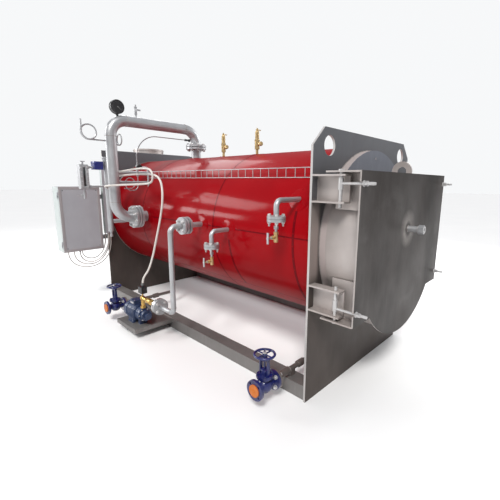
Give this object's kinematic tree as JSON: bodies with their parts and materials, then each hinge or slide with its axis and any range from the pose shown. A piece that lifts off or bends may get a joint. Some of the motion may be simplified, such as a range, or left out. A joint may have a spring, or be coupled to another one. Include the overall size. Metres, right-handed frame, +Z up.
{
  "type": "industrial boiler",
  "caption": "Horizontal fire-tube boiler on steel end plates and rails, with a hinged front door, flanged pipework, feed pump, blowdown valves and control cabinet.",
  "frame": {"origin": "middle of the front end plate's foot, on the floor", "axes": "+X along the boiler towards the door, +Z up, -Y is the piping side"},
  "size_m": [3.8228, 1.924, 2.15],
  "materials": {
    "plate_steel": "satin mill plate",
    "door_steel": "dark satin plate",
    "bright_steel": "pickled stainless",
    "red_cladding": "gloss",
    "pipe_steel": "satin",
    "brass": "machined",
    "blue_enamel": "gloss enamel",
    "orange_cap": "matte",
    "navy_paint": "gloss",
    "black_plastic": "matte",
    "cabinet_paint": "fine texture",
    "box_blue": "gloss",
    "cable_beige": "matte",
    "lining": "castable refractory"
  },
  "bodies": {
    "root": {"base_rails": "plate_steel", "black_fittings": "black_plastic", "blowdown_caps": "orange_cap", "blowdown_pipes": "pipe_steel", "blowdown_valve_bodies": "blue_enamel", "boiler_shell": "red_cladding", "cabinet_cable_1": "cable_beige", "cabinet_cable_2": "cable_beige", "cabinet_cable_3": "cable_beige", "cabinet_cable_4": "cable_beige", "cabinet_case": "cabinet_paint", "cabinet_fixings": "cabinet_paint", "cabinet_glands": "cabinet_paint", "cable_duct": "cabinet_paint", "cable_tray": "pipe_steel", "conduit_loop": "cable_beige", "conduit_to_pump": "cable_beige", "feed_check_line": "pipe_steel", "feed_nozzle": "pipe_steel", "feed_pump": "navy_paint", "feed_riser_pipe": "pipe_steel", "flue_collar": "bright_steel", "front_closure_drum": "plate_steel", "front_end_plate": "plate_steel", "gauge_syphons": "pipe_steel", "hinge_brackets_far": "bright_steel", "hinge_brackets_near": "bright_steel", "hinge_pins_near": "bright_steel", "instrument_tubing": "pipe_steel", "level_columns": "pipe_steel", "level_drain_valve": "pipe_steel", "level_gauge": "pipe_steel", "level_pipes": "pipe_steel", "level_switch_box": "box_blue", "pressure_gauge": "black_plastic", "probe_head": "pipe_steel", "pump_motor": "navy_paint", "pump_tray": "plate_steel", "rear_end_plate": "plate_steel", "safety_valves": "brass", "sample_branches": "pipe_steel", "sample_flanges": "pipe_steel", "sample_valves": "brass", "smoke_box_top": "plate_steel", "smoke_box_walls": "plate_steel", "steam_loop_pipe": "pipe_steel", "steam_nozzles": "pipe_steel", "vent_valve": "pipe_steel"},
    "door": {"door_face_plate": "door_steel", "door_drum": "bright_steel", "door_lining": "lining", "door_arms": "bright_steel", "door_lifting_ring": "bright_steel", "door_sight_tube": "bright_steel", "swing_bolts": "bright_steel", "swing_bolt_nuts": "bright_steel", "hinge_pins_far": "bright_steel"},
    "cabinet_door": {"cabinet_door": "cabinet_paint"},
    "handwheel_front": {"blowdown_handwheel_front": "blue_enamel"},
    "handwheel_rear": {"blowdown_handwheel_rear": "blue_enamel"}
  },
  "joints": [
    {"name": "door_hinge", "type": "hinge", "parent": "root", "child": "door", "pos_m": [0.1815, -0.674, 1.05], "axis": [0, 0, -1], "range_deg": [0, 110]},
    {"name": "cabinet_hinge", "type": "hinge", "parent": "root", "child": "cabinet_door", "pos_m": [-2.9203, -1.217, 0.991], "axis": [0, 0, -1], "range_deg": [0, 110]},
    {"name": "front_wheel_turn", "type": "hinge", "parent": "root", "child": "handwheel_front", "pos_m": [-0.164, -0.904, 0.36], "axis": [0, 0, 1], "range_deg": [0, 1620]},
    {"name": "rear_wheel_turn", "type": "hinge", "parent": "root", "child": "handwheel_rear", "pos_m": [-2.21, -0.98, 0.36], "axis": [0, 0, 1], "range_deg": [0, 1620]}
  ]
}
